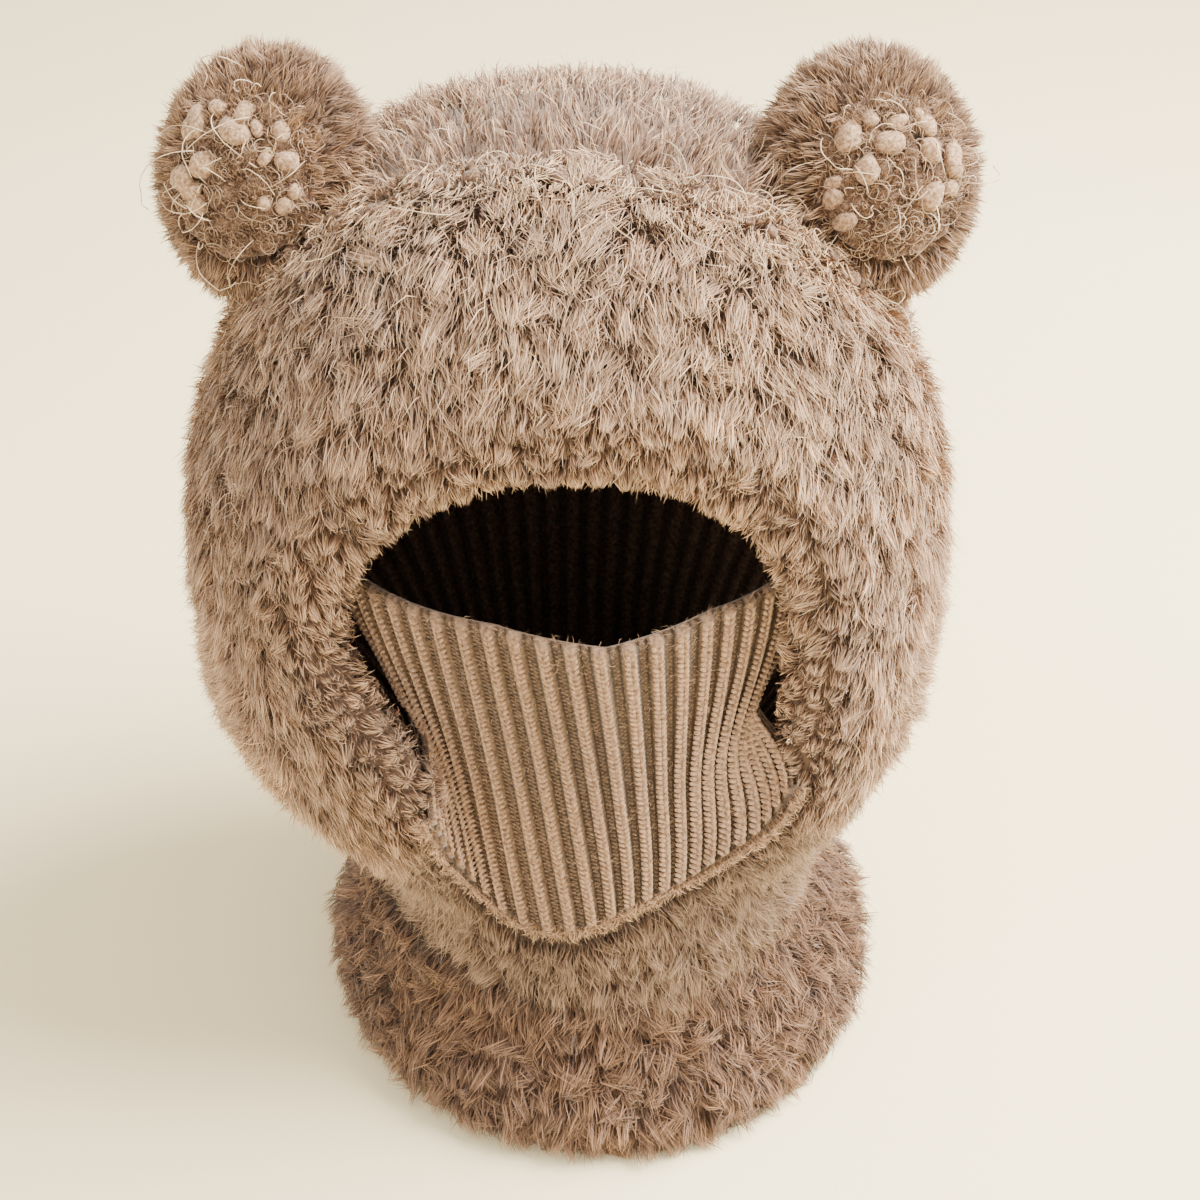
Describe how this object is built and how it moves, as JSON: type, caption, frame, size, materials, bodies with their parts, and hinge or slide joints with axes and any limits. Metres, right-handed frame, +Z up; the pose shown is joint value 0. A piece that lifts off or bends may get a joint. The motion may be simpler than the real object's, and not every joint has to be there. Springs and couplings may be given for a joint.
{
  "type": "animal hood scarf",
  "caption": "Plush knitted hood with round animal ears, a ribbed face mask inside the face opening and a flared collar it stands on.",
  "frame": {"origin": "on the surface that the collar stands on, under the centre of the part's bounding box", "axes": "+Z up, the face opening towards -Y, the wearer's left ear on +X"},
  "size_m": [0.287, 0.2612, 0.4051],
  "materials": {
    "hood_fur": "plush fur yarn",
    "collar_fur": "plush fur yarn",
    "ear_fur": "plush fur yarn",
    "nubby_yarn": "nubby looped yarn",
    "lining_knit": "rib knit",
    "mask_knit": "rib knit"
  },
  "bodies": {
    "root": {"crown": "hood_fur", "front_band": "hood_fur", "collar": "collar_fur", "ear_left": "ear_fur", "ear_right": "ear_fur", "ear_patch_left": "nubby_yarn", "ear_patch_right": "nubby_yarn", "hood_seam": "nubby_yarn", "lining": "lining_knit", "face_mask": "mask_knit", "mask_seam": "mask_knit"}
  },
  "joints": []
}
